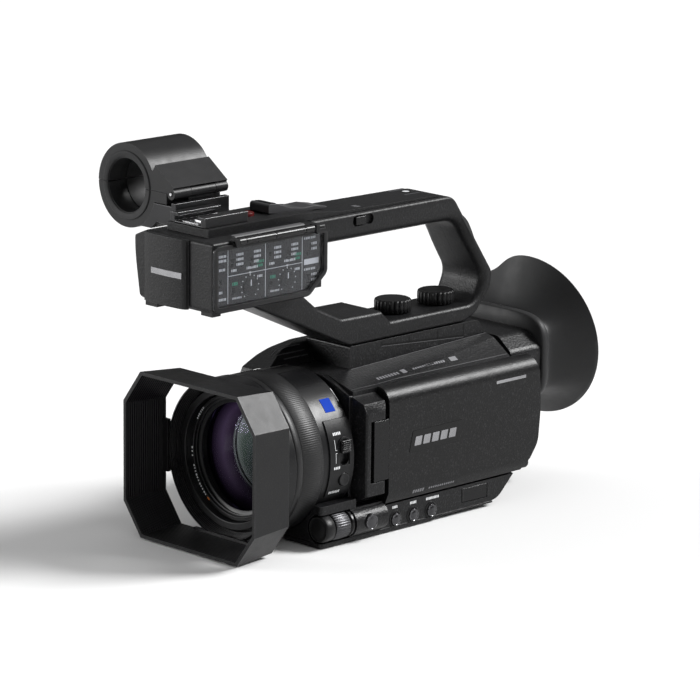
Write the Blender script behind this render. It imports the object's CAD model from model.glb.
import math

import bmesh
import bpy
import numpy as np
from mathutils import Matrix, Vector
from mathutils.bvhtree import BVHTree
from mathutils.geometry import tessellate_polygon


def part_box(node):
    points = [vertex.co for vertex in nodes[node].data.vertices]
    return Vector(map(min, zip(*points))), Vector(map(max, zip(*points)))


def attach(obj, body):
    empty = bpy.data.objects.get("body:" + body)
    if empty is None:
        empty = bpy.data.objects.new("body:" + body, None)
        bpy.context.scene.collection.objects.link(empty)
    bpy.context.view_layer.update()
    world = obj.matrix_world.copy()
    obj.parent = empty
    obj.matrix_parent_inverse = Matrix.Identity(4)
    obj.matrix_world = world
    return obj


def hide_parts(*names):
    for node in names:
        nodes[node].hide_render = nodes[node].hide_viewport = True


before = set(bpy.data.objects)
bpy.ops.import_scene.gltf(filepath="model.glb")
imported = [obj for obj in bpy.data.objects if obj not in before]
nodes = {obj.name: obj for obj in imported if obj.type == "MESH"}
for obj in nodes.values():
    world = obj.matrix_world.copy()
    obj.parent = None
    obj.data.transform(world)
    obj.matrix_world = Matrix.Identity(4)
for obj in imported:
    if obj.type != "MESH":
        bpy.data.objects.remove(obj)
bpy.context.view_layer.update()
MM = 0.001


# ---------------------------------------------------------------- camera

def make_camera():
    """Where the camera stands, which way it looks and how long its lens is."""
    azimuth, elevation, roll = (math.radians(d) for d in (45.4906, 13.2297, 0.5965))
    stand = (1.36564, -1.34644, 0.53183)
    flat = math.cos(elevation)
    fwd = Vector((-math.sin(azimuth) * flat, math.cos(azimuth) * flat, -math.sin(elevation)))
    side = Vector((math.cos(azimuth), math.sin(azimuth), 0))
    down = fwd.cross(side)
    right = side * math.cos(roll) - down * math.sin(roll)
    low = side * math.sin(roll) + down * math.cos(roll)
    data = bpy.data.cameras.new("camera")
    data.lens = 208.2
    data.sensor_width = 36
    data.clip_start = 0.05
    data.clip_end = 60
    cam = bpy.data.objects.new("camera", data)
    bpy.context.scene.collection.objects.link(cam)
    turn = Matrix((right, -low, -fwd)).transposed()
    cam.matrix_world = Matrix.Translation(stand) @ turn.to_4x4()
    bpy.context.scene.camera = cam


make_camera()


# ---------------------------------------------------------------- material helpers

# Height of the lens axis above the table, in metres
LENS_AXIS = 0.041


def is_socket(value):
    return hasattr(value, "is_output")


def add(tree, kind, settings=None, **values):
    """A shader node with its settings, and a link or a value for each input named."""
    node = tree.nodes.new("ShaderNode" + kind)
    for key, value in (settings or {}).items():
        setattr(node, key, value)
    for key, value in values.items():
        feed(tree, node.inputs[key.replace("_", " ")], value)
    return node


def feed(tree, socket, value):
    if is_socket(value):
        tree.links.new(value, socket)
    else:
        socket.default_value = value


def rgba(c):
    return (c[0], c[1], c[2], 1.0) if hasattr(c, "__len__") else (c, c, c, 1.0)


def shade(base, share, lift=0.0):
    """A colour made darker or lighter."""
    return rgba([min(1.0, c * share + lift) for c in base])


def mix(tree, fac, a, b):
    node = tree.nodes.new("ShaderNodeMix")
    node.data_type = "RGBA"
    feed(tree, node.inputs[0], fac)
    feed(tree, node.inputs[6], a if is_socket(a) else rgba(a))
    feed(tree, node.inputs[7], b if is_socket(b) else rgba(b))
    return node.outputs[2]


def maths(tree, op, a, b=0.0, clamp=False):
    node = tree.nodes.new("ShaderNodeMath")
    node.operation = op
    node.use_clamp = clamp
    feed(tree, node.inputs[0], a)
    feed(tree, node.inputs[1], b)
    return node.outputs[0]


def times(tree, a, b):
    return maths(tree, "MULTIPLY", a, b)


def plus(tree, a, b):
    return maths(tree, "ADD", a, b)


def remap(tree, value, a, b, c, d):
    node = add(tree, "MapRange", Value=value, From_Min=a, From_Max=b, To_Min=c, To_Max=d)
    return node.outputs[0]


def fresh(name):
    """An empty material with its node tree and the point being shaded, in the object's own metres."""
    m = bpy.data.materials.new(name)
    m.use_nodes = True
    tree = m.node_tree
    tree.nodes.clear()
    return m, tree, add(tree, "TexCoord").outputs["Object"]


def noise(tree, point, scale, detail=2.0, rough=0.55):
    node = add(tree, "TexNoise", Vector=point, Scale=scale, Detail=detail, Roughness=rough)
    return node.outputs[0]


def parts_of(tree, vector):
    return add(tree, "SeparateXYZ", Vector=vector).outputs


def bumped(tree, height, depth, strength=1.0, under=None):
    """A surface direction from a height, over another one if given; the depth is in mm."""
    node = add(tree, "Bump", Strength=strength, Distance=depth * MM, Height=height)
    if under is not None:
        tree.links.new(under, node.inputs["Normal"])
    return node.outputs[0]


def edge_mask(tree, radius):
    """1 on sharp edges, 0 on flat and gently curved faces."""
    soft = add(tree, "Bevel", {"samples": 4}, Radius=radius).outputs[0]
    hard = add(tree, "NewGeometry").outputs["Normal"]
    dot = add(tree, "VectorMath", {"operation": "DOT_PRODUCT"})
    tree.links.new(soft, dot.inputs[0])
    tree.links.new(hard, dot.inputs[1])
    return remap(tree, dot.outputs["Value"], 0.995, 0.86, 0.0, 1.0)


def shine(tree, colour, rough, normal=None, metal=0.0, spec=0.3, coat=0.0, coat_rough=0.1, sheen=0.0):
    """The surface shader, joined to the material's output."""
    node = add(tree, "BsdfPrincipled", Base_Color=colour, Roughness=rough, Metallic=metal,
               Specular_IOR_Level=spec, Coat_Weight=coat, Coat_Roughness=coat_rough, Sheen_Weight=sheen)
    if normal is not None:
        tree.links.new(normal, node.inputs["Normal"])
    add(tree, "OutputMaterial", Surface=node.outputs[0])
    return node


def see_through(tree, tint, gloss_colour, gloss_rough, share):
    """Clear material with a mirror share on top."""
    see = add(tree, "BsdfTransparent", Color=tint)
    gloss = add(tree, "BsdfGlossy", Color=rgba(gloss_colour), Roughness=gloss_rough)
    both = add(tree, "MixShader", Fac=share)
    tree.links.new(see.outputs[0], both.inputs[1])
    tree.links.new(gloss.outputs[0], both.inputs[2])
    add(tree, "OutputMaterial", Surface=both.outputs[0])


def from_lens_axis(tree, point):
    """The sideways and upward distance from the lens axis, and the radius."""
    x, _, z = parts_of(tree, point)
    height = maths(tree, "SUBTRACT", z, LENS_AXIS)
    squares = plus(tree, times(tree, x, x), times(tree, height, height))
    return x, height, maths(tree, "SQRT", squares)


# ---------------------------------------------------------------- materials

def plastic(name, base, rough=0.45, grain=1500, depth=0.05, speck=0.0, wear=0.3, metal=0.0,
            spec=0.22, vary=0.03, coat=0.0, stretch=None, cells=False, sheen=0.0):
    """Plastic, rubber or metal with a fine grain, light specks and paler worn edges."""
    m, t, point = fresh(name)
    if stretch:
        point = add(t, "Mapping", Vector=point, Scale=stretch).outputs[0]
    fine = noise(t, point, grain, 3.0, 0.6)
    broad = noise(t, point, 24, 3.0)
    mid = noise(t, point, 210, 2.0)
    relief = fine
    if cells:
        cell = add(t, "TexVoronoi", {"feature": "F1"}, Vector=point, Scale=grain * 0.8)
        pebbles = times(t, cell.outputs["Distance"], 0.8)
        relief = plus(t, pebbles, times(t, fine, 0.5))
    colour = mix(t, remap(t, broad, 0.35, 0.65, 0.0, 1.0), shade(base, 0.88), shade(base, 1.14))
    if speck:
        colour = mix(t, remap(t, fine, 0.56, 0.72, 0.0, speck), colour, shade(base, 5.0, 0.02))
    gloss = plus(t, remap(t, mid, 0.3, 0.7, rough - vary, rough + vary),
                 remap(t, broad, 0.3, 0.7, -vary * 0.5, vary * 0.5))
    if wear:
        rim = times(t, edge_mask(t, EDGE_WEAR), remap(t, mid, 0.35, 0.6, 0.45, 1.0))
        rim = times(t, rim, wear)
        colour = mix(t, rim, colour, shade(base, 3.0, 0.055))
        gloss = maths(t, "SUBTRACT", gloss, times(t, rim, 0.22), True)
    shine(t, colour, gloss, bumped(t, relief, depth), metal, spec, coat, 0.12, sheen)
    return m


def paint(name, colour, rough=0.5, spec=0.3):
    """Printed colour, slightly broken up."""
    m, t, point = fresh(name)
    fine = noise(t, point, 2600, 2.0)
    tone = mix(t, remap(t, fine, 0.3, 0.7, 0.8, 1.0), shade(colour, 0.7), rgba(colour))
    gloss = remap(t, noise(t, point, 300), 0.3, 0.7, rough - 0.08, rough + 0.08)
    shine(t, tone, gloss, bumped(t, fine, 0.01), spec=spec)
    return m


def clear_cover(name):
    """Clear plastic with a dusty gloss."""
    m, t, point = fresh(name)
    dust = noise(t, point, 420, 4.0, 0.7)
    facing = add(t, "Fresnel", IOR=1.3).outputs[0]
    glint = times(t, facing, remap(t, dust, 0.3, 0.8, 0.5, 0.8))
    see_through(t, rgba((0.9, 0.91, 0.93)), 0.9, remap(t, dust, 0.3, 0.7, 0.04, 0.14), glint)
    return m


def front_coating(name):
    """Clear glass with a faint tint that deepens to the rim."""
    m, t, point = fresh(name)
    _, _, radius = from_lens_axis(t, point)
    tint = mix(t, remap(t, radius, 0.018, 0.029, 0.0, 1.0), (0.95, 0.96, 0.97), (0.6, 0.55, 0.66))
    rough = remap(t, noise(t, point, 900, 4.0, 0.7), 0.3, 0.8, 0.05, 0.12)
    see_through(t, tint, (0.55, 0.5, 0.75), rough, add(t, "Fresnel", IOR=1.16).outputs[0])
    return m


def coated_glass(name):
    """Dark inner glass with a soft bloom of colour, brighter on one side."""
    m, t, point = fresh(name)
    x, height, radius = from_lens_axis(t, point)
    lean = plus(t, times(t, x, -0.8), times(t, height, 0.6))
    side = maths(t, "DIVIDE", lean, plus(t, radius, 0.002))
    ramp = add(t, "ValToRGB", Fac=remap(t, radius, 0.0, 0.029, 0.0, 1.0))
    stops = ramp.color_ramp.elements
    stops[0].position, stops[0].color = 0.0, rgba((0.012, 0.02, 0.014))
    stops[1].position, stops[1].color = 1.0, rgba((0.003, 0.002, 0.004))
    for where, colour in ((0.45, (0.045, 0.062, 0.05)), (0.73, (0.115, 0.13, 0.125)),
                          (0.755, (0.012, 0.007, 0.016)), (0.86, (0.045, 0.03, 0.058)),
                          (0.95, (0.012, 0.008, 0.016))):
        stops.new(where).color = rgba(colour)
    rough = remap(t, noise(t, point, 900, 4.0, 0.7), 0.3, 0.75, 0.12, 0.22)
    out = shine(t, rgba((0.004, 0.0045, 0.005)), rough, spec=0.2)
    t.links.new(ramp.outputs[0], out.inputs["Emission Color"])
    t.links.new(remap(t, side, -0.3, 0.8, 0.1, 1.0), out.inputs["Emission Strength"])
    return m


def ribbed_inside(name, base, rough, grain, depth, speck, wear, pitch):
    """Plastic whose faces towards the lens axis are darker and finely ribbed along the axis."""
    m = plastic(name, base, rough, grain, depth, speck, wear, spec=0.23)
    t = m.node_tree
    out = next(n for n in t.nodes if n.type == "BSDF_PRINCIPLED")
    x, y, z = parts_of(t, add(t, "TexCoord").outputs["Object"])
    across, _, up = parts_of(t, add(t, "NewGeometry").outputs["True Normal"])
    height = maths(t, "SUBTRACT", z, LENS_AXIS)
    inwards = plus(t, times(t, across, x), times(t, up, height))
    inside = remap(t, inwards, -0.012, -0.004, 1.0, 0.0)
    ribs = maths(t, "SINE", times(t, y, 2 * math.pi / (pitch * MM)))
    height = times(t, ribs, inside)
    grain_normal = out.inputs["Normal"].links[0].from_socket
    t.links.new(bumped(t, height, 0.12, 1.0, grain_normal), out.inputs["Normal"])
    plain = out.inputs["Base Color"].links[0].from_socket
    t.links.new(mix(t, times(t, inside, 0.3), plain, shade(base, 0.5)), out.inputs["Base Color"])
    return m


def weave(name, base, pitch=0.0011, rough=0.85):
    """Woven cloth, worn paler in places; the pitch is in metres."""
    m, t, point = fresh(name)
    _, y, z = parts_of(t, point)
    along = maths(t, "SINE", times(t, y, 2 * math.pi / pitch))
    across = maths(t, "SINE", times(t, z, 2 * math.pi / pitch))
    cloth = times(t, along, across)
    fuzz = noise(t, point, 3200, 3.0)
    height = plus(t, times(t, cloth, 0.5), times(t, fuzz, 0.6))
    tone = mix(t, remap(t, cloth, -1.0, 1.0, 0.0, 1.0), shade(base, 0.55), shade(base, 1.3))
    faded = remap(t, noise(t, point, 40, 3.0), 0.35, 0.7, 0.0, 0.35)
    tone = mix(t, faded, tone, shade(base, 1.8, 0.004))
    gloss = remap(t, fuzz, 0.3, 0.7, rough - 0.1, rough + 0.1)
    shine(t, tone, gloss, bumped(t, height, 0.16, 0.9), sheen=0.25)
    return m


def grey(value, blue=0.0):
    return (value, value, value + blue)


# How far wear reaches in from an edge, in metres
EDGE_WEAR = 0.0006
# Base colour, roughness, grain per metre, relief in mm, specks, worn edges and anything else
PLASTICS = {
    "casing_black": (grey(0.0048, 0.0005), 0.37, 1150, 0.11, 0.7, 0.3, {"cells": True}),
    "door_black": (grey(0.0034, 0.0003), 0.36, 1250, 0.1, 0.7, 0.3),
    "hinge_black": (grey(0.0042, 0.0004), 0.28, 1600, 0.02, 0.0, 0.4),
    "screen_glass": ((0.003, 0.0035, 0.005), 0.07, 900, 0.002, 0.0, 0.0, {"coat": 0.6}),
    "ring_rubber": (grey(0.0062, 0.0004), 0.44, 1300, 0.04, 0.1, 0.25, {"spec": 0.34}),
    "plate_black": (grey(0.0052, 0.0005), 0.4, 1500, 0.035, 0.15, 0.3),
    "control_black": (grey(0.0046, 0.0004), 0.36, 1700, 0.03, 0.0, 0.5),
    "button_metal": (grey(0.06, 0.003), 0.22, 2200, 0.01, 0.0, 0.8, {"metal": 0.85}),
    "board_green": ((0.01, 0.09, 0.03), 0.4, 700, 0.05, 0.2, 0.2),
    "battery_black": (grey(0.011, 0.001), 0.5, 1000, 0.05, 0.2, 0.3),
    "eyecup_rubber": ((0.0085, 0.0086, 0.0092), 0.52, 1400, 0.035, 0.06, 0.12, {"spec": 0.3, "sheen": 0.05}),
    "record_red": ((0.075, 0.004, 0.004), 0.35, 1500, 0.02, 0.0, 0.3),
    "handle_black": (grey(0.0062, 0.0005), 0.42, 1350, 0.09, 0.5, 0.3, {"cells": True}),
    "knob_black": (grey(0.0048, 0.0004), 0.4, 1600, 0.03, 0.0, 0.5),
    "shoe_metal": (grey(0.03, 0.001), 0.35, 1900, 0.012, 0.0, 0.9, {"metal": 0.8, "stretch": (1, 0.15, 1)}),
    "box_black": (grey(0.0054, 0.0005), 0.4, 1300, 0.08, 0.45, 0.3, {"cells": True}),
    "panel_grey": ((0.0085, 0.0087, 0.0095), 0.5, 1500, 0.03, 0.1, 0.2),
    "switch_black": (grey(0.012, 0.0005), 0.35, 1500, 0.02, 0.0, 0.7),
    "socket_metal": (grey(0.32, 0.01), 0.28, 1700, 0.012, 0.0, 0.4, {"metal": 1.0, "stretch": (1, 1, 0.2)}),
    "clamp_black": (grey(0.0058, 0.0005), 0.4, 1400, 0.05, 0.22, 0.3),
    "soft_lining": (grey(0.009, 0.0005), 0.6, 1100, 0.07, 0.0, 0.15, {"spec": 0.3}),
    "bezel": (grey(0.0075, 0.0005), 0.34, 1500, 0.03, 0.1, 0.5),
    "edge_line": (grey(0.07, 0.003), 0.3, 1900, 0.008, 0.0, 0.0),
    "rod_black": (grey(0.006, 0.0005), 0.3, 1900, 0.008, 0.0, 0.3, {"spec": 0.3}),
    "plate_gloss": (grey(0.0016, 0.0002), 0.2, 1900, 0.006, 0.0, 0.0, {"spec": 0.25}),
    "box_bar": (grey(0.085, 0.003), 0.4, 1800, 0.015, 0.0, 0.3),
    "steel": (grey(0.42, 0.01), 0.26, 1900, 0.008, 0.0, 0.5, {"metal": 1.0}),
    "silver_mark": (grey(0.3, 0.01), 0.24, 2200, 0.01, 0.0, 0.0, {"metal": 0.9}),
    "dial_metal": (grey(0.06, 0.003), 0.36, 2200, 0.01, 0.0, 0.4, {"metal": 0.85}),
    "groove": (grey(0.0022, 0.0002), 0.6, 1500, 0.02, 0.0, 0.0, {"spec": 0.2}),
    "thread": (grey(0.05, 0.002), 0.7, 2400, 0.05, 0.0, 0.0, {"spec": 0.3}),
    "rocker_grey": (grey(0.035, 0.002), 0.34, 1700, 0.02, 0.0, 0.4),
}
PAINTS = {"white_mark": (0.78, 0.79, 0.8), "faint_mark": (0.17, 0.17, 0.18), "green_mark": (0.01, 0.30, 0.16),
          "caption_mark": (0.72, 0.73, 0.74), "orange_mark": (0.55, 0.16, 0.02)}

MAT = {}
for name, row in PLASTICS.items():
    MAT[name] = plastic(name, *row[:6], **(row[6] if len(row) > 6 else {}))
for name, colour in PAINTS.items():
    MAT[name] = paint(name, colour)
MAT["blue_mark"] = paint("blue_mark", (0.01, 0.045, 0.36), 0.7, 0.04)
MAT["lamp_white"] = paint("lamp_white", (0.75, 0.76, 0.78), 0.2)
MAT["barrel_black"] = ribbed_inside("barrel_black", grey(0.0052, 0.0006), 0.34, 1700, 0.025, 0.12, 0.35, 0.9)
MAT["hood_black"] = ribbed_inside("hood_black", grey(0.0055, 0.0005), 0.38, 1500, 0.05, 0.22, 0.45, 1.3)
MAT["strap_fabric"] = weave("strap_fabric", grey(0.012, 0.001))
MAT["lens_glass"] = coated_glass("lens_glass")
MAT["front_coating"] = front_coating("front_coating")
MAT["cover_clear"] = clear_cover("cover_clear")


# ---------------------------------------------------------------- CAD nodes: soft edges and finishes

def dress(name, width, slot=None):
    """Gives a CAD node smooth shading, a fine bevel on its sharp edges and its material."""
    o = nodes[name]
    me = o.data
    for polygon in me.polygons:
        polygon.use_smooth = True
    attribute = me.attributes.get("custom_normal")
    if attribute:
        me.attributes.remove(attribute)
    weld = o.modifiers.new("weld", "WELD")
    weld.merge_threshold = 0.00001
    if width:
        flat = o.modifiers.new("flat", "DECIMATE")
        flat.decimate_type = "DISSOLVE"
        flat.angle_limit = math.radians(0.4)
        soften_edges(o, width)
        bevel = o.modifiers["bevel"]
        bevel.use_clamp_overlap = True
        bevel.harden_normals = False
        o.modifiers["even"].weight = 80
    me.materials.clear()
    me.materials.append(MAT[slot or frame_slot[name]])


def soften_edges(o, width):
    bevel = o.modifiers.new("bevel", "BEVEL")
    bevel.width = width * MM
    bevel.segments = 2
    bevel.limit_method = "ANGLE"
    bevel.angle_limit = math.radians(32)
    even = o.modifiers.new("even", "WEIGHTED_NORMAL")
    even.keep_sharp = True


frame_slot = {name: o.data.materials[0].name.split(".")[0] for name, o in nodes.items()}
# Bevel widths in mm
PLAIN_BEVEL = 0.3
BEVELS = {"casing_screen_side": 0.6, "casing_grip_side": 0.8, "top_cover": 0.7, "control_pod": 0.7,
          "rear_cover": 0.8, "screen_door": 0.9, "sound_box_shell": 0.22, "sound_box_front": 0.22,
          "handle_top_cover": 0.7, "eyepiece_housing": 0.8, "battery": 0.8, "clamp_lower": 0.4,
          "clamp_upper": 0.4, "hinge_block": 0.7, "accessory_shoe": 0.25, "handle_zoom_rocker": 0.2,
          "lens_glass": 0.0, "eyepiece_lens": 0.0, "level_dial_1": 0.2, "level_dial_2": 0.2}
for name in nodes:
    dress(name, BEVELS.get(name, PLAIN_BEVEL), slot="rocker_grey" if name == "handle_zoom_rocker" else None)


# ---------------------------------------------------------------- mesh helpers (lengths here are in mm)

def finish_mesh(name, bm, mat, body, sharp=35, bevel=0.0):
    """Turns a bmesh into a piece that rides on a body, with its material and, if it needs one, its slot."""
    bmesh.ops.remove_doubles(bm, verts=bm.verts, dist=0.000002)
    bmesh.ops.recalc_face_normals(bm, faces=bm.faces)
    me = bpy.data.meshes.new(name)
    bm.to_mesh(me)
    bm.free()
    for polygon in me.polygons:
        polygon.use_smooth = True
    me.set_sharp_from_angle(angle=math.radians(sharp))
    me.materials.append(MAT[mat])
    o = bpy.data.objects.new(name, me)
    bpy.context.scene.collection.objects.link(o)
    if bevel:
        soften_edges(o, bevel)
    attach(o, body)
    return o


def piece(name, mat, body, shapes, sharp=35, bevel=0.0):
    """One piece made of several shapes; each is a helper below and its values."""
    bm = bmesh.new()
    for shape, *values in shapes:
        shape(bm, *values)
    return finish_mesh(name, bm, mat, body, sharp, bevel)


def add_faces(bm, verts, faces):
    made = [bm.verts.new([c * MM for c in v]) for v in verts]
    for face in faces:
        ring = [made[i] for i in face]
        if len(set(ring)) > 2:
            try:
                bm.faces.new(ring)
            except ValueError:
                pass


AXES = {"x": ((0, 1, 0), (0, 0, 1), (1, 0, 0)), "y": ((1, 0, 0), (0, 0, 1), (0, 1, 0)),
        "z": ((1, 0, 0), (0, 1, 0), (0, 0, 1))}


def ring_faces(first, second, size):
    """Faces between two rings of points whose first indices are given."""
    return [(first + j, first + (j + 1) % size, second + (j + 1) % size, second + j) for j in range(size)]


def revolve(bm, profile, centre, axis, segments, wave=None, closed=True, arc=None, start=0.0):
    """Turns a profile of (radius, height) about an axis; arc in degrees makes a part turn with end caps.

    A profile that isn't closed keeps its two ends apart, as one that ends on the axis does.
    """
    u, v, w = (np.array(a, float) for a in AXES[axis])
    centre = np.array(centre, float)
    count = len(profile)
    full = arc is None
    steps = segments if full else segments + 1
    sweep = 2 * math.pi if full else math.radians(arc)
    verts, faces = [], []
    for i in range(steps):
        a = math.radians(start) + sweep * i / segments
        for j, (r, h) in enumerate(profile):
            rr = r + (wave(i, j) if wave else 0.0)
            verts.append(centre + u * math.cos(a) * rr + v * math.sin(a) * rr + w * h)
    for i in range(segments):
        k = (i + 1) % steps
        for j in range(count if closed else count - 1):
            n = (j + 1) % count
            faces.append((i * count + j, k * count + j, k * count + n, i * count + n))
    if not full and closed:
        faces.append(tuple(range(count)))
        faces.append(tuple((steps - 1) * count + j for j in reversed(range(count))))
    add_faces(bm, verts, faces)


def place(axis, a, b, h):
    return {"x": (h, a, b), "y": (a, h, b), "z": (a, b, h)}[axis]


def prism(bm, points, axis, low, high, hole=None):
    """Extrudes a closed outline, with a hole if given, along an axis."""
    loops = [points] + ([hole] if hole else [])
    flat = [Vector((p[0], p[1], 0)) for loop in loops for p in loop]
    count = len(flat)
    verts = [place(axis, p.x, p.y, h) for h in (low, high) for p in flat]
    if hole:
        tris = tessellate_polygon([[Vector((p[0], p[1], 0)) for p in loop] for loop in loops])
        faces = [tuple(t) for t in tris] + [tuple(i + count for i in reversed(t)) for t in tris]
    else:
        faces = [tuple(range(count)), tuple(i + count for i in reversed(range(count)))]
    first = 0
    for loop in loops:
        faces += ring_faces(first, first + count, len(loop))
        first += len(loop)
    add_faces(bm, verts, faces)


def fillet(points, radii, steps=6, closed=True):
    """Rounds the corners of an outline."""
    out = []
    count = len(points)
    for i, (p, r) in enumerate(zip(points, radii)):
        if r <= 0 or (not closed and i in (0, count - 1)):
            out.append(tuple(p))
            continue
        p = np.array(p, float)
        a = np.array(points[i - 1], float) - p
        b = np.array(points[(i + 1) % count], float) - p
        la, lb = np.linalg.norm(a), np.linalg.norm(b)
        a, b = a / la, b / lb
        half = math.acos(max(-1, min(1, float(a @ b)))) / 2
        reach = min(r / math.tan(half), la * 0.49, lb * 0.49)
        r = reach * math.tan(half)
        centre = p + (a + b) / np.linalg.norm(a + b) * r / math.sin(half)
        t0, t1 = p + a * reach - centre, p + b * reach - centre
        a0 = math.atan2(t0[1], t0[0])
        turn = (math.atan2(t1[1], t1[0]) - a0 + math.pi) % (2 * math.pi) - math.pi
        for s in range(steps + 1):
            angle = a0 + turn * s / steps
            out.append((centre[0] + r * math.cos(angle), centre[1] + r * math.sin(angle)))
    return out


def round_rect(a0, a1, b0, b1, r, steps=5):
    return fillet([(a0, b0), (a1, b0), (a1, b1), (a0, b1)], [r] * 4, steps)


def inset(points, amount):
    """Moves a closed counter-clockwise outline inwards."""
    out = []
    for i in range(len(points)):
        p, q, r = (np.array(points[j % len(points)], float) for j in (i - 1, i, i + 1))
        n1 = np.array([-(q - p)[1], (q - p)[0]])
        n2 = np.array([-(r - q)[1], (r - q)[0]])
        n = n1 / max(np.linalg.norm(n1), 1e-9) + n2 / max(np.linalg.norm(n2), 1e-9)
        length = np.linalg.norm(n)
        n = n / max(length, 1e-9)
        out.append(tuple(q + n * amount * min(1.6, 2 / max(length, 0.8))))
    return out


trees = {}


def surface_point(node, axis, a, b, side=1):
    """The point on a CAD node met by a line along an axis, and the surface direction there."""
    if node not in trees:
        me = nodes[node].data
        corners = [v.co.copy() for v in me.vertices]
        trees[node] = BVHTree.FromPolygons(corners, [tuple(p.vertices) for p in me.polygons])
    start = Vector(place(axis, a, b, 400 * side)) * MM
    way = Vector(place(axis, 0, 0, -side))
    hit, normal, _, _ = trees[node].ray_cast(start, way)
    return (None, None) if hit is None else (hit / MM, normal)


def strip(bm, node, axis, path, width, lift=0.03, side=1, step=2.0, sink=0.12):
    """A thin printed or moulded line laid on a CAD node along a path in the plane across the axis."""
    points = []
    for a, b in zip(path, path[1:]):
        a, b = np.array(a, float), np.array(b, float)
        count = max(1, int(np.linalg.norm(b - a) / step))
        points += [a + (b - a) * k / count for k in range(count)]
    points.append(np.array(path[-1], float))
    rows = []
    for i, p in enumerate(points):
        way = points[min(i + 1, len(points) - 1)] - points[max(i - 1, 0)]
        across = np.array([-way[1], way[0]]) / max(np.linalg.norm(way), 1e-9) * width / 2
        row = [surface_point(node, axis, *(p + across * s), side) for s in (-1, 1)]
        if all(hit is not None for hit, _ in row):
            rows.append([hit + normal * lift for hit, normal in row]
                        + [hit - normal * sink for hit, normal in reversed(row)])
    if len(rows) < 2:
        return
    faces = []
    for i in range(len(rows) - 1):
        faces += ring_faces(i * 4, i * 4 + 4, 4)
    last = (len(rows) - 1) * 4
    faces += [(0, 1, 2, 3), (last + 3, last + 2, last + 1, last)]
    add_faces(bm, [v for row in rows for v in row], faces)


def dashes(bm, node, axis, first, pitch, length, count, width, along=0, step=0.6):
    """A row of short plain strips on a CAD node, along the plane's first direction or its second."""
    for i in range(count):
        start, end = list(first), list(first)
        start[along] = first[along] + i * pitch
        end[along] = first[along] + length + i * pitch
        strip(bm, node, axis, [start, end], width, 0.03, 1, step)


def strips(name, mat, rows, body=None, sharp=35):
    """A piece made only of strips."""
    return piece(name, mat, body or BODY, [(strip, *row) for row in rows], sharp)


def barrel_patch(bm, y, angles, r, thick=0.12, steps=10):
    """A curved plate on the lens barrel."""
    verts, faces = [], []
    for radius in (r, r - thick - 0.1):
        for yy in y:
            for i in range(steps + 1):
                a = math.radians(angles[0] + (angles[1] - angles[0]) * i / steps)
                verts.append((radius * math.cos(a), yy, LENS_Z + radius * math.sin(a)))
    row = steps + 1
    for i in range(steps):
        for base in (0, 2 * row):
            faces.append((base + i, base + i + 1, base + row + i + 1, base + row + i))
        faces.append((i, i + 1, 2 * row + i + 1, 2 * row + i))
        faces.append((row + i, row + i + 1, 3 * row + i + 1, 3 * row + i))
    for i in (0, steps):
        faces.append((i, row + i, 3 * row + i, 2 * row + i))
    add_faces(bm, verts, faces)


def carve(o, cutter_bm):
    """Cuts a shape out of a piece for good."""
    bmesh.ops.recalc_face_normals(cutter_bm, faces=cutter_bm.faces)
    me = bpy.data.meshes.new("cutter")
    cutter_bm.to_mesh(me)
    cutter_bm.free()
    cutter = bpy.data.objects.new("cutter", me)
    bpy.context.scene.collection.objects.link(cutter)
    cut = o.modifiers.new("cut", "BOOLEAN")
    cut.object = cutter
    cut.solver = "EXACT"
    bpy.context.view_layer.update()
    graph = bpy.context.evaluated_depsgraph_get()
    made = bpy.data.meshes.new_from_object(o.evaluated_get(graph))
    o.modifiers.clear()
    o.data = made
    made.set_sharp_from_angle(angle=math.radians(35))
    bpy.data.objects.remove(cutter)


def box_mm(name):
    lo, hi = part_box(name)
    return [c / MM for c in lo], [c / MM for c in hi]


LENS_Z = sum(c[2] for c in box_mm("focus_ring")) / 2
LENS = (0, 0, LENS_Z)
BODY = "camera"


# ---------------------------------------------------------------- handle

def make_handle():
    outer = fillet([(-44.3, 153), (51.5, 153), (80, 111.5), (79, 103.5), (68, 91.5), (60, 88.6), (-19, 88.6),
                    (-88, 119.7)], [0, 9, 6, 6, 8, 4, 6, 0], 9, closed=False)
    inner = fillet([(-52, 119.7), (-40, 110), (-24, 102.6), (3, 102.3), (9, 96.5), (68, 96.5), (73.6, 109.5),
                    (54.4, 140), (-44.3, 140)], [0, 8, 6, 1.5, 2, 8, 9, 12, 0], 9, closed=False)
    outer, inner = resample(outer, 3.0), resample(inner, 3.0)
    radii = [1.7 if p[1] > 100 else 1.2 for p in outer] + [edge_round(p) for p in inner]
    radii = smooth_list(radii, len(outer))
    normals = chain_normals(outer) + chain_normals(inner)
    loop = outer + inner
    size, steps = len(loop), 7
    lo, hi = box_mm("handle_screen_side")
    for name, side, node in (("handle_half_right", 1, "handle_screen_side"),
                             ("handle_half_left", -1, "handle_grip_side")):
        layers = [[(lo[0] * side, p[0], p[1]) for p in loop]]
        for s in range(steps + 1):
            turn = math.pi / 2 * s / steps
            shrink = 1 - math.cos(turn)
            layers.append([(side * (hi[0] - r + r * math.sin(turn)), p[0] + n[0] * r * shrink,
                            p[1] + n[1] * r * shrink) for p, n, r in zip(loop, normals, radii)])
        faces = []
        for i in range(len(layers) - 1):
            faces += ring_faces(i * size, (i + 1) * size, size)
        for index in (0, len(layers) - 1):
            flat = [Vector((p[1], p[2], 0)) for p in layers[index]]
            faces += [tuple(index * size + i for i in t) for t in tessellate_polygon([flat])]
        bm = bmesh.new()
        add_faces(bm, [p for layer in layers for p in layer], faces)
        o = finish_mesh(name, bm, "handle_black", BODY, 40)
        if side > 0:
            cutter = bmesh.new()
            prism(cutter, [(-10.7 + 7.0 * c, 149.3 + 2.6 * s) for c, s in stadium(0.7)], "x", 13.4, 17)
            carve(o, cutter)
        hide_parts(node)


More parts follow.
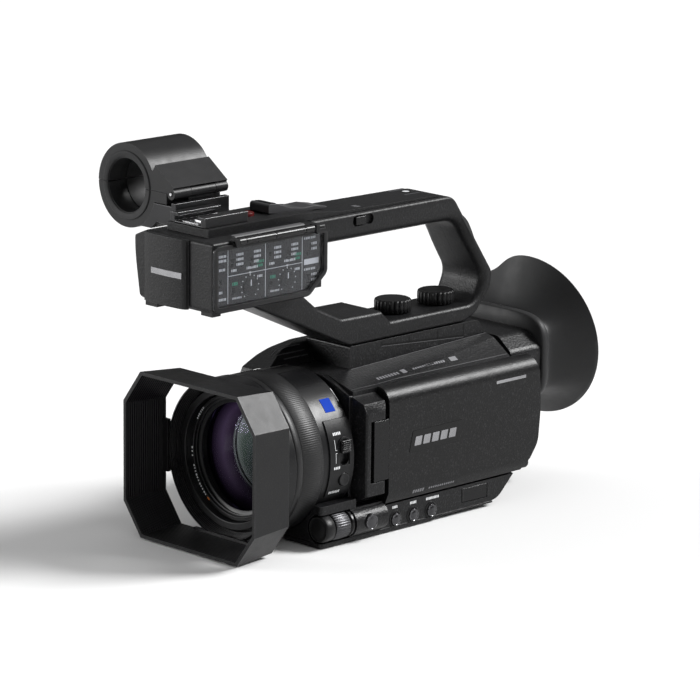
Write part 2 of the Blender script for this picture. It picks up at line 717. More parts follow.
def stadium(share, steps=10):
    """A long hole with round ends, from -1 to 1 both ways; the share of its length is straight."""
    out = []
    for end, first in ((1, -math.pi / 2), (-1, math.pi / 2)):
        for i in range(steps + 1):
            a = first + math.pi * i / steps
            out.append((end * share + (1 - share) * math.cos(a), math.sin(a)))
    return out


def resample(points, step):
    out = []
    for a, b in zip(points, points[1:]):
        a, b = np.array(a, float), np.array(b, float)
        count = max(1, int(np.linalg.norm(b - a) / step))
        out += [tuple(a + (b - a) * k / count) for k in range(count)]
    out.append(tuple(points[-1]))
    return out


def edge_round(p):
    y, z = p
    if z > 128:
        return 5.6
    if y > 62 and z > 99:
        return 4.0
    return 2.2


def smooth_list(values, split):
    out = list(values)
    for _ in range(5):
        for part in (range(1, split - 1), range(split + 1, len(out) - 1)):
            out = [(out[i - 1] + 2 * out[i] + out[i + 1]) / 4 if i in part else value
                   for i, value in enumerate(out)]
    return out


def chain_normals(points):
    """Directions into the material on the right-hand side of a chain that runs clockwise."""
    out = []
    for i in range(len(points)):
        a = np.array(points[max(i - 1, 0)])
        b = np.array(points[min(i + 1, len(points) - 1)])
        way = (b - a) / np.linalg.norm(b - a)
        out.append((way[1], -way[0]))
    return out


make_handle()


# ---------------------------------------------------------------- lens

def make_focus_ring():
    """The turning ring: a smooth rear band, a groove and a finely ribbed band."""
    lo, hi = box_mm("focus_ring")
    r = hi[0]
    ribs, per = 230, 4
    rib_shape = (0.0, -0.07, -0.15, -0.07)
    ribbed_points = (6, 7)
    profile = [(r - 3.0, lo[1]), (r - 1.0, lo[1]), (r - 0.25, lo[1] + 0.35), (r - 0.05, lo[1] + 1.0),
               (r - 0.05, -72.6), (r - 0.5, -72.1), (r - 0.02, -71.6), (r - 0.02, -59.1), (r - 0.5, -58.5),
               (r - 1.1, hi[1]), (r - 3.0, hi[1])]

    def rib(i, j):
        return rib_shape[i % per] if j in ribbed_points else 0.0

    ring = piece("focus_ring_ribbed", "ring_rubber", "focus_ring_body",
                 [(revolve, profile, LENS, "y", ribs * per, rib)], 60)
    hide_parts("focus_ring")


def dome(rim_r, rim_y, rise, thick):
    """Half of a lens element's outline, from its bulging front to its flat back."""
    ball = (rim_r * rim_r + rise * rise) / (2 * rise)
    front = [(rim_r * k / 16, rim_y - rise + ball - math.sqrt(ball * ball - (rim_r * k / 16) ** 2))
             for k in range(17)]
    return front + [(rim_r, rim_y + thick), (0.0, rim_y + thick)]


def make_glass():
    """Front element, and the painted cone and second element behind it."""
    around = (LENS, "y", 120)
    cone = [(28.7, -70.0), (27.4, -68.6), (22.2, -61.4), (21.4, -60.6), (21.4, -60.0), (22.4, -60.0),
            (28.7, -66.0)]
    glass = piece("front_element", "front_coating", BODY,
                  [(revolve, dome(28.85, -71.6, 6.6, 1.4), *around, None, False)], 40)
    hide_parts("lens_glass")
    piece("lens_cone", "lens_glass", BODY, [(revolve, cone, *around)], 40)
    piece("second_element", "lens_glass", BODY,
          [(revolve, dome(21.3, -59.0, 6.0, 1.5), *around, None, False)], 40)


def make_lens_rings():
    """Fine steps inside the hood's collar, and the ring round the front glass with plain marks."""
    steps = 9
    profile = []
    for i in range(steps):
        y = -81.2 - 6.3 * i / steps
        r = 36.2 + 2.1 * i / steps
        profile += [(r - 0.28, y), (r - 0.28, y - 0.42), (r + 0.02, y - 0.42)]
    profile += [(38.6, -87.2), (38.9, -81.2)]
    piece("collar_steps", "barrel_black", BODY, [(revolve, profile, LENS, "y", 120)], 25)
    rings = [[(r0, y + 0.9), (r0, y + 0.2), (r0 + 0.25, y), (r1 - 0.25, y), (r1, y + 0.25), (r1, y + 0.9)]
             for y, r0, r1 in ((-80.4, 29.0, 30.7), (-79.3, 27.9, 29.2))]
    piece("front_retaining_rings", "barrel_black", BODY, [(revolve, ring, LENS, "y", 120) for ring in rings],
          30)
    mark = [(29.35, -80.46), (29.35, -80.36), (30.2, -80.36), (30.2, -80.46)]
    marks = []
    for centre, spread, count in ((184, 8, 3), (212, 30, 11), (143, 14, 6)):
        for i in range(count):
            arc = spread / count * (0.45 if i % 3 else 0.7)
            start = centre + spread * (i / (count - 1) - 0.5)
            marks.append((revolve, mark, LENS, "y", 3, None, True, arc, start))
    piece("ring_marks", "white_mark", BODY, marks)
    piece("ring_mark_orange", "orange_mark", BODY, [(revolve, mark, LENS, "y", 4, None, True, 3.4, 231)])


def make_barrel_marks():
    """A plain blue square, an index line and the seam of the panel on the barrel."""
    piece("barrel_square", "blue_mark", BODY, [(barrel_patch, (-49.8, -43.4), (36.3, 47.4), 38.14)], 30)
    piece("barrel_index", "white_mark", BODY, [(barrel_patch, (-38.75, -38.45), (43, 55), 38.06)])
    seams = (((-56.0, -55.7), (62, 84)), ((-56.0, -43.0), (61.7, 62.2)), ((-43.2, -42.9), (62, 84)),
             ((-56.0, -43.0), (83.8, 84.3)))
    piece("barrel_panel_seam", "groove", BODY, [(barrel_patch, y, angles, 38.1) for y, angles in seams])


make_focus_ring()
make_glass()
make_lens_rings()
make_barrel_marks()


# ---------------------------------------------------------------- eyecup

EYECUP_POINTS = 120
EYECUP_STEPS = 14


def rim_point(a, extra, back):
    """A point on the rim: a teardrop with a soft corner at the top, pulled in beyond it."""
    centre = np.array([0, 125.6, 70.3])
    lean, yaw = math.radians(8.6), math.radians(6.5)
    turn = np.array(Matrix.Rotation(yaw, 3, "Z") @ Matrix.Rotation(lean, 3, "X"))
    pull = 4.4 * math.exp(-((math.degrees(a) % 360 - 122) / 17.0) ** 2)
    r = 42.0 - pull + extra
    return centre + turn @ np.array([r * math.cos(a), back, r * math.sin(a)])


def collar_point(a, half_wide, low, high, y):
    """A point on the collar, whose outline is a rounded rectangle."""
    half_high, power = (high - low) / 2, 4.2
    c, s = math.cos(a), math.sin(a)
    k = (abs(c / half_wide) ** power + abs(s / half_high) ** power) ** (-1 / power)
    return np.array([k * c, y, (low + high) / 2 + k * s])


def flared_row(t, collar, rim):
    """A ring of points between the collar and the rim that widens slowly at first."""
    row = []
    for a in angles_of(EYECUP_POINTS):
        start, end = collar_point(a, *collar), rim_point(a, *rim)
        wide = start + (end - start) * t ** 1.45
        row.append(np.array([wide[0], (start + (end - start) * t)[1], wide[2]]))
    return row


def make_eyecup():
    y0 = box_mm("eyecup")[0][1]
    outside = ((25, 50, 81, 0), (31.2, 43.8, 87.2, 0), (32, 43, 88, 0.8), (32, 43, 88, 4.0),
               (31.2, 43.8, 87.2, 5.2), (29.4, 45.6, 85.4, 6.2))
    inside = ((24, 52, 79, 6.0), (22, 53, 78, 4.6), (20, 54, 77, 4.2), (20, 54, 77, 0.1))
    around = angles_of(EYECUP_POINTS)

    def collar_row(half_wide, low, high, y):
        return [collar_point(a, half_wide, low, high, y0 + y) for a in around]

    rows = [collar_row(*row) for row in outside]
    for s in range(1, EYECUP_STEPS + 1):
        rows.append(flared_row(s / EYECUP_STEPS, (29.2, 45.8, 85.2, y0 + 6.8), (0.0, -0.9)))
    for extra, back in ((-0.35, -0.2), (-1.1, 0.0), (-1.8, -0.4)):
        rows.append([rim_point(a, extra, back) for a in around])
    for s in range(EYECUP_STEPS - 1, 1, -1):
        rows.append(flared_row(s / EYECUP_STEPS, (26.4, 48.6, 82.4, y0 + 8.4), (-2.0, -0.9)))
    rows += [collar_row(*row) for row in inside]
    faces = []
    for i in range(len(rows)):
        faces += ring_faces(i * EYECUP_POINTS, (i + 1) % len(rows) * EYECUP_POINTS, EYECUP_POINTS)
    verts = [p for row in rows for p in row]
    o = piece("eyecup_shell", "eyecup_rubber", "eyepiece", [(add_faces, verts, faces)], 70)
    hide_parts("eyecup")


def angles_of(count):
    return [2 * math.pi * i / count for i in range(count)]


make_eyecup()


# ---------------------------------------------------------------- hand strap

def outwards(a, b):
    """The direction out of the grip, square to the strap's run from a to b."""
    way = (b - a) / np.linalg.norm(b - a)
    return np.array([-way[1], way[0]])


def strap_size(t, half):
    """Half the strap's thickness and width at a share of its length."""
    return 0.9 + 1.1 * math.sin(math.pi * t) ** 0.35, half * (0.62 + 0.38 * min(1.0, 4.2 * t, 4.2 * (1 - t)))


def make_strap_pad(path, middle, half):
    count, ring, power = len(path), 28, 3.4
    verts, faces = [], []
    for i, p in enumerate(path):
        out = outwards(np.array(path[max(i - 1, 0)]), np.array(path[min(i + 1, count - 1)]))
        thick, wide = strap_size(i / (count - 1), half)
        for turn in angles_of(ring):
            c, s = math.cos(turn), math.sin(turn)
            k = (abs(c) ** power + abs(s) ** power) ** (-1 / power)
            u, v = k * c, k * s
            crown = 1.0 - 0.35 * abs(u) ** 3
            seam = 0.22 if 0.80 < abs(u) < 0.93 and abs(v) > 0.3 else 0.0
            d = thick * v * crown - (seam if v > 0 else -seam)
            verts.append((p[0] + out[0] * d, p[1] + out[1] * d, middle + wide * u))
    for i in range(count - 1):
        faces += ring_faces(i * ring, (i + 1) * ring, ring)
    faces += [tuple(range(ring)), tuple((count - 1) * ring + j for j in reversed(range(ring)))]
    o = piece("hand_strap_pad", "strap_fabric", BODY, [(add_faces, verts, faces)], 80)
    smooth = o.modifiers.new("smooth", "SUBSURF")
    smooth.levels = smooth.render_levels = 1
    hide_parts("hand_strap")


def make_strap_stitches(path, middle, half):
    """Short stitches along both edges."""
    box_faces = [(0, 1, 3, 2), (4, 6, 7, 5), (0, 4, 5, 1), (2, 3, 7, 6), (1, 5, 7, 3), (0, 2, 6, 4)]
    shapes = []
    for i in range(2, len(path) - 3):
        a, b = np.array(path[i]), np.array(path[i + 1])
        out = outwards(a, b)
        thick, wide = strap_size(i / (len(path) - 1), half)
        side = out * 0.22
        for sign in (-1, 1):
            z = middle + sign * wide * 0.86
            for share in (0.0, 0.5):
                verts = []
                for end in (share + 0.05, share + 0.38):
                    x = a + (b - a) * end + out * thick * 0.78
                    for dz in (-0.2, 0.2):
                        verts += [(*(x + side * way), z + dz) for way in (-1, 1)]
                shapes.append((add_faces, verts, box_faces))
    piece("strap_stitches", "thread", BODY, shapes, 30)


def make_strap():
    lo, hi = box_mm("hand_strap")
    corners = [(-54.6, -25.4), (-62.6, -21.4), (-72, -0.5), (-72, 43.5), (-62.6, 66.2), (-54.6, 69.4)]
    path = resample(fillet(corners, [0, 8, 30, 30, 8, 0], 10, closed=False), 3.0)
    middle, half = (lo[2] + hi[2]) / 2, (hi[2] - lo[2]) / 2 - 0.3
    make_strap_pad(path, middle, half)
    make_strap_stitches(path, middle, half)


make_strap()


# ---------------------------------------------------------------- sound box: panel, cover, clamp

# Thickness of the panel's printing, in mm
PRINT = 0.07
DIAL_TEETH = 40


def panel_rects(bm, rects, x):
    """Printed rectangles on the control panel: each is (y0, y1, z0, z1)."""
    for y0, y1, z0, z1 in rects:
        prism(bm, [(y0, z0), (y1, z0), (y1, z1), (y0, z1)], "x", x, x + PRINT)


def dash_row(y, z, count, width=0.66, gap=0.24, height=1.2):
    """A row of short plain dashes that starts at y."""
    starts = [y + i * (width + gap) for i in range(count)]
    return [(start, start + width * (1.0 if i % 3 else 0.7), z - height / 2, z + height / 2)
            for i, start in enumerate(starts)]


def middle_yz(node):
    """The middle of a node seen from the side, half its length in y, and its outer face."""
    lo, hi = box_mm(node)
    return (lo[1] + hi[1]) / 2, (lo[2] + hi[2]) / 2, (hi[1] - lo[1]) / 2, hi[0]


def make_panel_captions(x, low, high):
    """Lines and plain dashes where the panel has its captions."""
    white = [(y - 0.14, y + 0.14, low + 0.6, high - 0.6) for y in (-108.0, -84.3, -60.7)]
    white += [(-108.0, -60.7, 136.95, 137.22), (-59.4, -50.0, 135.6, 138.3)]
    green, pale = [], []
    for base in (-106.0, -82.0):
        for z, count in ((146.6, 5), (144.3, 5), (142.0, 4)):
            pale += dash_row(base + 3.4, z, 5) + dash_row(base + 14.4, z, count)
        pale += dash_row(base + 0.2, 139.4, 4) + dash_row(base + 9.8, 139.4, 8)
        pale += dash_row(base + 16.6, 134.6, 4) + dash_row(base + 0.8, 126.2, 8, 0.5, 0.25, 0.9)
        green += dash_row(base + 16.4, 141.6, 5, 0.6, 0.3, 1.3)
        green += dash_row(base + 16.8, 139.7, 4, 0.6, 0.3, 1.2)
        green += dash_row(base + 0.8, 133.0, 4, 0.65, 0.3, 1.6)
    for z, count, width, gap in ((146.9, 6, 0.66, 0.24), (144.8, 6, 0.66, 0.24), (140.6, 6, 0.5, 0.3),
                                 (130.0, 4, 0.5, 0.3), (126.6, 6, 0.66, 0.24)):
        pale += dash_row(-114.3, z, count, width, gap)
    for z in (148.3, 133.4):
        pale += dash_row(-59.4, z, 7, 0.7, 0.4, 1.1)
    for z in (145.4, 142.9, 130.6, 128.0):
        pale += dash_row(-54.6, z, 4, 0.6, 0.35)
    for name, rects, mat in (("panel_lines", white, "white_mark"), ("panel_captions", pale, "caption_mark"),
                             ("panel_green_captions", green, "green_mark")):
        piece(name, mat, BODY, [(panel_rects, rects, x)])


def dial_tooth(i, j):
    return -0.22 if i % 2 and j in (1, 2) else 0.0


def make_panel():
    lo, hi = box_mm("sound_panel")
    x = hi[0] + 0.005
    make_panel_captions(x, lo[2], hi[2])
    # Scale dots round the level dials
    shapes = []
    for node in ("level_dial_1", "level_dial_2"):
        cy, cz, r, _ = middle_yz(node)
        r += 1.3
        for i in range(11):
            t = math.radians(-50 + 28 * i)
            y, z = cy + r * math.cos(t), cz + r * math.sin(t)
            dot = [(y + 0.3 * math.cos(k), z + 0.3 * math.sin(k)) for k in angles_of(8)]
            shapes.append((prism, dot, "x", x, x + PRINT))
        pointer = [(cy - 0.7, cz + r + 1.6), (cy + 0.7, cz + r + 1.6), (cy, cz + r + 0.3)]
        shapes.append((prism, pointer, "x", x, x + PRINT))
    piece("dial_scales", "white_mark", BODY, shapes)
    # Dark rims of the small switches' slots
    shapes = []
    for node in ("channel_switch", "input_switch_1", "input_switch_2", "auto_switch_1", "auto_switch_2"):
        a, b = box_mm(node)
        outer = round_rect(a[1] - 0.5, b[1] + 0.5, a[2] - 0.4, b[2] + 2.6, 0.5)
        inner = round_rect(a[1] - 0.15, b[1] + 0.15, a[2] - 0.1, b[2] + 2.3, 0.2)
        shapes.append((prism, outer, "x", x - 0.03, x + 0.04, inner[::-1]))
    piece("switch_slots", "switch_black", BODY, shapes)
    # Dial rims and a pointer line
    for index in (1, 2):
        cy, cz, r, _ = middle_yz(f"level_dial_{index}")
        profile = [(r - 1.0, 25.02), (r - 0.05, 25.1), (r - 0.15, 25.6), (r - 0.5, 25.78), (r - 1.1, 25.86),
                   (r - 1.6, 25.6), (r - 1.6, 25.02)]
        body = f"level_dial_{index}_body"
        piece(f"level_dial_rim_{index}", "control_black", body,
              [(revolve, profile, (0, cy, cz), "x", DIAL_TEETH * 2, dial_tooth)], 40)
        line = round_rect(cy - 0.28, cy + 0.28, cz + 0.5, cz + r - 0.7, 0.25)
        piece(f"level_dial_pointer_{index}", "white_mark", body, [(prism, line, "x", 25.78, 25.9)])


make_panel()


def make_cover_frame():
    """The clear cover's dark frame with gaps at its hinges, and the hinge barrels above it."""
    outline = fillet([(-118.4, 121.4), (-58, 121.4), (-46.4, 131), (-46.4, 152.4), (-118.4, 152.4)],
                     [3, 5, 5, 3, 3], 5)
    outline = [(min(max(y, -118.3), -46.5), min(max(z, 121.5), 152.3)) for y, z in outline]
    frame_piece = piece("cover_frame", "bezel", "sound_cover_body", [
        (prism, outline, "x", 25.95, 27.55, inset(outline, 2.1)[::-1])], 35, 0.35)
    cutter = bmesh.new()
    for y0, y1 in ((-107.0, -104.0), (-56.0, -53.0)):
        prism(cutter, [(y0, 149.9), (y1, 149.9), (y1, 154), (y0, 154)], "x", 25, 29)
    carve(frame_piece, cutter)
    barrels = []
    for y0, y1, r in ((-104.1, -99.6, 1.72), (-99.3, -80.8, 1.62), (-80.5, -62, 1.62), (-61.7, -55.9, 1.72)):
        barrel = [(0.0, y0), (r - 0.3, y0), (r, y0 + 0.3), (r, y1 - 0.3), (r - 0.3, y1), (0.0, y1)]
        barrels.append((revolve, barrel, (27.5, 0, 153.2), "y", 32, None, False))
    piece("cover_hinge_barrel", "rod_black", "sound_cover_body", barrels, 40)


make_cover_frame()


def make_box_details():
    # Accent bar in place of a badge, the pale bar above the cover, and the seams of the front cap
    strips("front_accent_bar", "silver_mark",
           [("sound_box_front", "y", [(-13.4, 136.2), (7.0, 136.2)], 2.8, 0.28, -1, 1.0)], sharp=40)
    bar = [(20.6, 153.4), (24.0, 153.4), (24.0, 154.7), (23.2, 155.2), (20.6, 155.2)]
    piece("box_top_bar", "box_bar", BODY, [(prism, bar, "y", -102.5, -58.0)], 40, 0.2)
    strips("box_cap_seams", "groove",
           [("sound_box_front", "y", [(x, 121.4), (x, 152.4)], 0.35, 0.03, -1) for x in (-20.2, 9.2)])
    # Rings, contacts and release tabs of the microphone sockets
    lo, hi = box_mm("microphone_sockets")
    cz = (lo[2] + hi[2]) / 2
    profile = [(11.7, -29.2), (11.7, -31.3), (11.3, -31.8), (10.2, -31.9), (9.7, -31.5), (9.7, -29.2)]
    contact = [(0.0, -19.0), (0.95, -19.0), (0.95, -18.2), (0.0, -18.0)]
    rings, contacts = [], []
    for cy in (-101.0, -72.0):
        rings.append((revolve, profile, (0, cy, cz), "x", 72))
        for t in (90, 210, 330):
            y, z = cy + 4.6 * math.cos(math.radians(t)), cz + 4.6 * math.sin(math.radians(t))
            contacts.append((revolve, contact, (0, y, z), "x", 20, None, False))
        tab = round_rect(cy - 2.6, cy + 2.6, cz + 9.6, cz + 11.2, 0.5)
        contacts.append((prism, tab, "x", -32.6, -31.4))
    piece("socket_rings", "hinge_black", BODY, rings, 35)
    piece("socket_contacts", "steel", BODY, contacts, 35)
    # Spring strip in the accessory shoe
    piece("shoe_spring", "steel", BODY, [
        (prism, round_rect(-6.2, 6.2, -108.6, -85.0, 1.0), "z", 158.62, 158.95),
        (prism, round_rect(-2.6, 2.6, -104.0, -90.0, 0.8), "z", 158.9, 159.35)], 35, 0.08)


make_box_details()


def make_clamp_details():
    """Linings of the clamp's two halves, and the ends of its pin."""
    lo, hi = box_mm("clamp_lower")
    centre, front = (-48.7, 0, 169.0), lo[1]
    face = [(13.45, front - 0.02), (13.45, front - 0.25), (13.9, front - 0.55), (16.2, front - 0.55),
            (16.6, front - 0.25), (16.6, front + 0.1), (13.45, front + 0.1)]
    back = [(r, hi[1] + front - y) for r, y in face]
    for name, body, start in (("clamp_lining_upper", "clamp_top", 0.8), ("clamp_lining_lower", BODY, 180.8)):
        shapes = [(revolve, side, centre, "y", 60, None, True, 178.4, start) for side in (face, back)]
        for y0, y1 in ((-104.8, -98.2), (-93.5, -80.5), (-75.8, -69.2)):
            band = [(13.0, y0), (13.0, y1), (13.5, y1), (13.5, y0)]
            shapes.append((revolve, band, centre, "y", 60, None, True, 176, start + 1.2))
        piece(name, "soft_lining", body, shapes, 35)
    ends = []
    for y0, y1 in ((front - 0.5, front + 0.4), (-70.2, -69.6)):
        end = [(0.0, y0), (0.7, y0), (0.9, y0 + 0.25), (0.9, y1), (0.0, y1)]
        ends.append((revolve, end, (-17.5, 0, 169.0), "y", 28, None, False))
    piece("clamp_pin_ends", "steel", BODY, ends, 35)


make_clamp_details()


# ---------------------------------------------------------------- casing details

def make_door_details():
    """Plain plates and dashes where the screen door has its badges."""
    x = box_mm("screen_door")[1][0]
    plate = fillet([(-4.6, 38.2), (29.8, 38.2), (32.2, 48.6), (-2.2, 48.6)], [0.6] * 4, 3)
    piece("door_plate", "plate_gloss", "screen", [(prism, plate, "x", x - 0.1, x + 0.18)])
    bars = []
    for i in range(5):
        y0 = -1.4 + i * 5.9
        bar = fillet([(y0, 41.2), (y0 + 4.5, 41.2), (y0 + 5.5, 45.6), (y0 + 1.0, 45.6)], [0.3] * 4, 2)
        bars.append((prism, bar, "x", x + 0.1, x + 0.32))
    piece("door_plate_bar", "silver_mark", "screen", bars)
    small = ("screen_door", "x", [(55.5, 63.2), (76.5, 63.2)], 1.5, 0.25, 1, 1.0)
    strips("door_small_bar", "silver_mark", [small], "screen", 40)
    piece("door_dashes", "faint_mark", "screen", [
        (dashes, "screen_door", "x", (-0.6, 17.9), 1.6, 1.1, 5, 1.7),
        (dashes, "screen_door", "x", (10.4, 17.9), 1.5, 0.9, 12, 1.0)])


make_door_details()


def make_top_details():
    """Slots on the microphone dome, grooves on the pedestal's side, seams and dashes on the top shell."""
    slots = ((-11.9, -37.5, -21.5), (-13.3, -40.5, -22.5), (-15.0, -42.5, -24.0), (-17.0, -41.0, -23.0),
             (-19.0, -39.0, -22.5))
    strips("nose_slots", "groove", [("top_cover", "z", [(x, y0), (x, y1)], 0.7) for x, y0, y1 in slots])
    strips("nose_slot_lips", "edge_line",
           [("top_cover", "z", [(x + 0.5, y0), (x + 0.5, y1)], 0.26, 0.14) for x, y0, y1 in slots], sharp=30)
    ends = ((2.5, 85.8), (59.5, 81.7))
    cuts = [("top_cover", "x", [(y, z), (y, 87.4)], 0.55, 0.04, 1, 0.8)
            for y, z in (ends[0], (21.5, 84.4), (41.2, 83.0), ends[1])]
    strips("pedestal_recess", "groove", [("top_cover", "x", ends, 1.0, 0.04)] + cuts)
    shell = ("casing_screen_side", "z")
    strips("shoulder_edge", "edge_line", [("top_cover", "x", [(2.5, 85.1), (59.5, 81.0)], 0.3, 0.12),
                                          (*shell, [(15.75, -18.6), (15.75, 74.6)], 0.42, 0.12)], sharp=30)
    strips("casing_seam", "groove", [(*shell, [(30.6, -33.4), (30.6, 74.2)], 0.35)])
    strips("casing_seam_lip", "edge_line", [(*shell, [(31.0, -33.4), (31.0, 74.2)], 0.3, 0.1)], sharp=30)
    piece("slope_dashes", "faint_mark", BODY, [
        (dashes, *shell, (27.4, -12.5), 1.9, 1.2, 8, 2.0, 1),
        (strip, *shell, [(27.2, 4.2), (27.2, 7.2)], 3.0, 0.03, 1, 1.0),
        (dashes, *shell, (27.6, 11.7), 1.6, 1.1, 14, 1.2, 1),
        (strip, *shell, [(27.4, 37.4), (27.4, 42.2)], 2.2, 0.03, 1, 1.0)])


def button_cap(node, low, shoulder, centre_ring):
    """A domed metal cap with a raised rim that rides on a button."""
    cy, cz, r, top = middle_yz(node)
    profile = [(r - 0.05, top - low), (r - shoulder[0], top + shoulder[1]), (r - 0.3, top + 0.24),
               (r - 0.5, top + 0.12), (r - centre_ring[0], top + 0.02), (r - centre_ring[1], top + 0.03),
               (r * 0.5, top + 0.3), (r * 0.25, top + 0.42), (0.0, top + 0.46)]
    cap = (revolve, profile, (0, cy, cz), "x", 48, None, False)
    piece(node + "_cap", "button_metal", node + "_body", [cap], 50)


def make_buttons():
    """Rims round the small buttons, their caps and the captions above them."""
    x = 38.5
    rims = []
    for node in ("iris_button", "gain_button", "shutter_button"):
        cy, cz, r, _ = middle_yz(node)
        profile = [(r + 0.15, x - 0.05), (r + 0.15, x + 0.3), (r + 0.4, x + 0.45), (r + 1.0, x + 0.3),
                   (r + 1.15, x - 0.05)]
        rims.append((revolve, profile, (0, cy, cz), "x", 48))
        button_cap(node, 0.3, (0.1, 0.12), (0.6, 0.8))
    piece("button_rims", "hinge_black", BODY, rims, 40)
    button_cap("manual_button", 0.6, (0.05, 0.1), (0.62, 0.85))
    piece("button_captions", "caption_mark", BODY, [
        (dashes, "casing_screen_side", "x", (y - count * 0.45, 11.6), 0.9, 0.55, count, 1.3)
        for y, count in ((-10.2, 4), (2.3, 5), (15.6, 10))])


make_top_details()
make_buttons()


def make_dial():
    """The manual dial's knurled and smooth sleeves."""
    a, b = box_mm("manual_dial")
    r = (b[0] - a[0]) / 2
    centre = ((a[0] + b[0]) / 2, 0, (a[2] + b[2]) / 2)
    front, back = a[1], b[1]
    ribs, per = 34, 4
    rib_shape = (0.0, -0.1, -0.42, -0.1)
    knurl = [(r - 1.4, -53.2), (r - 0.5, -53.2), (r - 0.02, -52.6), (r - 0.02, -44.4), (r - 0.5, -43.8),
             (r - 1.4, -43.8)]

    def rib(i, j):
        return rib_shape[i % per] if j in (2, 3) else 0.0

    piece("manual_dial_knurl", "dial_metal", "manual_dial_body",
          [(revolve, knurl, centre, "y", ribs * per, rib)], 60)
    smooth = [(0.0, front + 0.05), (r * 0.55, front + 0.04), (r * 0.62, front + 0.14),
              (r - 1.0, front + 0.12), (r - 0.75, front + 0.02), (r - 0.3, front + 0.3),
              (r - 0.02, front + 0.9), (r - 0.02, -54.6), (r - 0.5, -54.0), (0.0, -54.0)]
    sleeve = piece("manual_dial_sleeve", "knob_black", "manual_dial_body",
                   [(revolve, smooth, centre, "y", 72, None, False)], 40)
    inner = [(0.0, -53.6), (r - 1.2, -53.6), (r - 1.2, -43.4), (r - 0.9, -43.2), (r - 0.2, -42.6),
             (r - 0.2, -41.6), (r - 0.9, back - 3.9), (1.4, back - 3.9), (1.4, back - 0.1), (0.0, back - 0.1)]
    piece("manual_dial_core", "hinge_black", "manual_dial_body",
          [(revolve, inner, centre, "y", 72, None, False)], 40)
    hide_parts("manual_dial")


make_dial()


def make_switch_plate_details():
    """Captions and travel line of the ring-function switch, its well and grips, and the button's cap."""
    plate = ("switch_plate", "x")
    lines = (((-50.4, 51.6), (-50.4, 46.6)), ((-50.4, 45.2), (-50.4, 40.4)), ((-50.4, 46.6), (-49.4, 46.6)),
             ((-50.4, 45.2), (-49.4, 45.2)))
    captions = ((-50.6, 54.2, 5), (-51.6, 38.0, 6), (-52.2, 25.6, 7))
    piece("switch_plate_captions", "caption_mark", BODY,
          [(dashes, *plate, (y, z), 1.05, 0.65, count, 1.3) for y, z, count in captions]
          + [(strip, *plate, line, 0.22) for line in lines])
    outer = round_rect(-48.7, -40.3, 37.6, 52.4, 4.1, 8)
    inner = round_rect(-47.7, -41.3, 38.6, 51.4, 3.1, 8)
    piece("focus_switch_well", "hinge_black", BODY, [(prism, outer, "x", 37.2, 38.15, inner[::-1])],
          35, 0.2)
    lo, hi = box_mm("focus_switch")
    grips = []
    for i in range(4):
        z = lo[2] + 1.5 + i * 1.1
        grip = round_rect(lo[1] + 0.5, hi[1] - 0.5, z, z + 0.55, 0.2)
        grips.append((prism, grip, "x", hi[0] - 0.35, hi[0] + 0.25))
    piece("focus_switch_grips", "bezel", "focus_switch_body", grips, 35, 0.08)
    cy, cz, r, top = middle_yz("focus_button")
    cap = [(r - 0.1, top - 0.3), (r - 0.2, top + 0.1), (r - 0.5, top + 0.2), (r - 0.9, top + 0.06),
           (0.0, top - 0.02)]
    piece("focus_button_cap", "bezel", "focus_button_body",
          [(revolve, cap, (0, cy, cz), "x", 48, None, False)], 40)


make_switch_plate_details()


def make_handle_details():
    """Lamp spot, printed marks and seams on the top of the handle, and the rocker's ridges."""
    lamp = [(0.0, 154.42), (1.5, 154.4), (1.9, 154.25), (1.95, 153.9), (0.0, 153.9)]
    ring = [(2.0, 153.9), (2.0, 154.42), (2.5, 154.5), (2.9, 154.3), (2.9, 153.9)]
    spot = ((-4, 37, 0), "z", 32)
    piece("tally_lamp", "lamp_white", BODY, [(revolve, lamp, *spot, None, False)])
    piece("tally_ring", "hinge_black", BODY, [(revolve, ring, *spot)], 40)
    cover = ("handle_top_cover", "z")
    marks = [(*cover, [(x, -9.6), (x, -6.6)], 0.5, 0.03, 1, 1.0) for x in (5.4, 6.5, 7.6, 8.7)]
    seams = [(*cover, [(x, 30.5), (x, 43.0)], 0.3) for x in (-9.5, 1.5)]
    strips("handle_marks", "faint_mark", marks + seams)
    ridges = [(strip, "handle_zoom_rocker", "z", [(-5.2, y), (5.2, y)], 0.5, 0.35, 1, 1.0)
              for y in (-62.4, -60.9, -59.4)]
    piece("rocker_ridges", "bezel", "handle_zoom_body", ridges, 40)


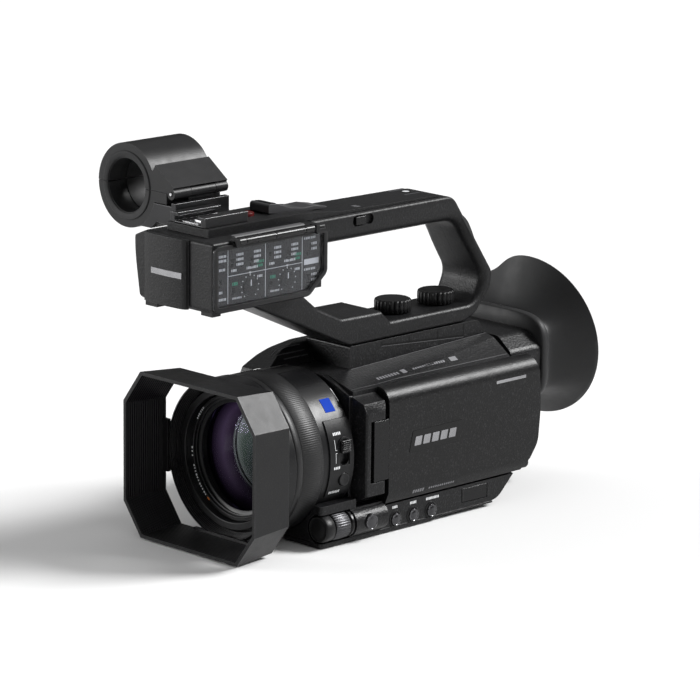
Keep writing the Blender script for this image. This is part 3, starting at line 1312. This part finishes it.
def make_knob(node):
    """A fluted knob with a shallow dish in its top, and its stem."""
    lo, hi = box_mm(node)
    cy, r, top, under = (lo[1] + hi[1]) / 2, (hi[0] - lo[0]) / 2, hi[2], 96.95
    flutes, per = 22, 6
    flute_shape = (0.0, -0.06, -0.3, -0.75, -0.3, -0.06)
    share = {1: 0.75, 2: 1.0, 3: 1.0, 4: 0.75}
    profile = [(r - 2.0, under), (r - 0.6, under), (r - 0.05, 97.4), (r - 0.02, top - 1.1),
               (r - 0.35, top - 0.4), (r - 1.1, top - 0.02), (r - 1.9, top), (r - 2.3, top - 0.3),
               (r * 0.4, top - 0.34), (0.0, top - 0.34), (0.0, under)]
    stem = [(0.0, 84.5), (3.0, 84.5), (3.0, 97.2), (0.0, 97.2)]

    def flute(i, j):
        return flute_shape[i % per] * share.get(j, 0.0)

    o = piece(node + "_fluted", "knob_black", node + "_body",
              [(revolve, profile, (0, cy, 0), "z", flutes * per, flute),
               (revolve, stem, (0, cy, 0), "z", 32, None, False)], 50)
    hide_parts(node)


make_handle_details()
make_knob("front_knob")
make_knob("rear_knob")


# ---------------------------------------------------------------- studio

def make_floor():
    """A large pale floor just below the object."""
    size, low = 12.0, -0.0006
    corners = [(x, y, low) for x, y in ((-size, -size), (size, -size), (size, size), (-size, size))]
    me = bpy.data.meshes.new("floor")
    me.from_pydata(corners, [], [(0, 1, 2, 3)])
    floor = bpy.data.objects.new("floor", me)
    bpy.context.scene.collection.objects.link(floor)
    m, t, _ = fresh("floor_pale")
    shine(t, rgba(0.72), 0.7, spec=0.1)
    me.materials.append(m)


def make_sky():
    """White surroundings that are bright overhead and dim below."""
    world = bpy.data.worlds.new("studio")
    bpy.context.scene.world = world
    world.use_nodes = True
    tree = world.node_tree
    back = tree.nodes["Background"]
    back.inputs[0].default_value = (1, 1, 1, 1)
    _, _, up = parts_of(tree, add(tree, "TexCoord").outputs["Generated"])
    feed(tree, back.inputs[1], remap(tree, up, 0.3, 0.66, 0.06, 0.54))


def broad_light(name, towards, spread, strength):
    """A large soft source, far off in the direction given."""
    data = bpy.data.lights.new(name, "SUN")
    data.angle = math.radians(spread)
    data.energy = strength
    lamp = bpy.data.objects.new(name, data)
    lamp.rotation_mode = "QUATERNION"
    lamp.rotation_quaternion = Vector(towards).to_track_quat("Z", "Y")
    lamp.location = Vector(towards) * 2
    bpy.context.scene.collection.objects.link(lamp)


make_floor()
make_sky()
broad_light("high_rear", (0.42, 0.64, 0.62), 22, 5.0)
broad_light("front_left", (-0.71, -0.68, 0.17), 26, 1.9)
broad_light("right_high", (0.93, -0.05, 0.36), 30, 0.3)
bpy.context.scene.view_settings.view_transform = "Standard"
